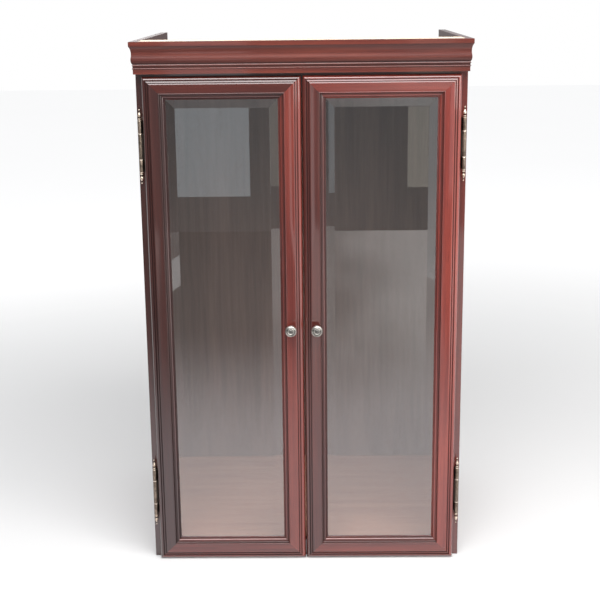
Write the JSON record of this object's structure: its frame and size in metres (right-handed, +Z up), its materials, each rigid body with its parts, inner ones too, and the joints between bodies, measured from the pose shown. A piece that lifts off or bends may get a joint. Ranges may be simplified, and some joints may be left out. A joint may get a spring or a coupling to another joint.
{
  "type": "armoire",
  "caption": "Two-door display armoire in dark red wood with mitred moulded door frames, bevelled glass, a crown moulding, round knobs and steeple-tip hinges.",
  "frame": {"origin": "on the floor, at the centre of the footprint's box, from the front of the knobs to the back panel", "axes": "+Z up, +X to the right as seen from the front, +Y to the back, so the doors face -Y"},
  "size_m": [0.85, 0.6434, 1.4],
  "materials": {
    "carcass_cherry": "dark red cherry, gloss lacquer",
    "crown_cherry": "dark red cherry, gloss lacquer",
    "door_cherry": "dark red cherry, gloss lacquer",
    "bead_wood": "dark red cherry, satin lacquer",
    "top_board_wood": "stained plywood, matt",
    "bottom_board_wood": "cherry board, satin lacquer",
    "back_panel_wood": "stained plywood, satin",
    "raw_wood": "unfinished pale wood",
    "bevelled_glass": "clear, polished, bevelled edges",
    "antique_brass": "antique brass, worn bright on the rings",
    "brass_screws": "antique brass",
    "pewter": "aged pewter",
    "steel": "zinc plated",
    "magnet": "nickel plated",
    "brown_plastic": "moulded brown plastic",
    "felt": "pale felt"
  },
  "bodies": {
    "cabinet": {"left_side_panel": "carcass_cherry", "right_side_panel": "carcass_cherry", "left_frame_stile": "carcass_cherry", "right_frame_stile": "carcass_cherry", "frame_top_rail": "carcass_cherry", "frame_bottom_rail": "carcass_cherry", "top_board": "top_board_wood", "bottom_board": "bottom_board_wood", "back_panel": "back_panel_wood", "crown_front": "crown_cherry", "left_crown_return": "crown_cherry", "right_crown_return": "crown_cherry", "crown_stiffener": "raw_wood", "left_corner_block": "raw_wood", "right_corner_block": "raw_wood", "left_upper_frame_leaf": "antique_brass", "left_upper_hinge_pin": "antique_brass", "left_lower_frame_leaf": "antique_brass", "left_lower_hinge_pin": "antique_brass", "right_upper_frame_leaf": "antique_brass", "right_upper_hinge_pin": "antique_brass", "right_lower_frame_leaf": "antique_brass", "right_lower_hinge_pin": "antique_brass", "hinge_lower_tips": "antique_brass", "frame_leaf_screws": "brass_screws", "catch_body": "brown_plastic", "catch_magnets": "magnet", "catch_screws": "steel"},
    "left_door": {"left_door_hinge_stile": "door_cherry", "left_door_meeting_stile": "door_cherry", "left_door_top_rail": "door_cherry", "left_door_bottom_rail": "door_cherry", "left_door_glass": "bevelled_glass", "left_side_glass_beads": "bead_wood", "left_cross_glass_beads": "bead_wood", "left_upper_door_leaf": "antique_brass", "left_lower_door_leaf": "antique_brass", "left_door_leaf_screws": "brass_screws", "left_knob": "pewter", "left_knob_rose": "pewter", "left_knob_screw": "steel", "left_strike_plate": "steel", "left_door_bumpers": "felt"},
    "right_door": {"right_door_hinge_stile": "door_cherry", "right_door_meeting_stile": "door_cherry", "right_door_top_rail": "door_cherry", "right_door_bottom_rail": "door_cherry", "right_door_glass": "bevelled_glass", "right_side_glass_beads": "bead_wood", "right_cross_glass_beads": "bead_wood", "right_upper_door_leaf": "antique_brass", "right_lower_door_leaf": "antique_brass", "right_door_leaf_screws": "brass_screws", "right_knob": "pewter", "right_knob_rose": "pewter", "right_knob_screw": "steel", "right_strike_plate": "steel", "right_door_bumpers": "felt"}
  },
  "joints": [
    {"name": "left_door_hinge", "type": "hinge", "parent": "cabinet", "child": "left_door", "pos_m": [-0.4085, -0.28075, 0.66], "axis": [0, 0, -1], "range_deg": [0, 180]},
    {"name": "right_door_hinge", "type": "hinge", "parent": "cabinet", "child": "right_door", "pos_m": [0.4085, -0.28075, 0.66], "axis": [0, 0, 1], "range_deg": [0, 180]}
  ]
}
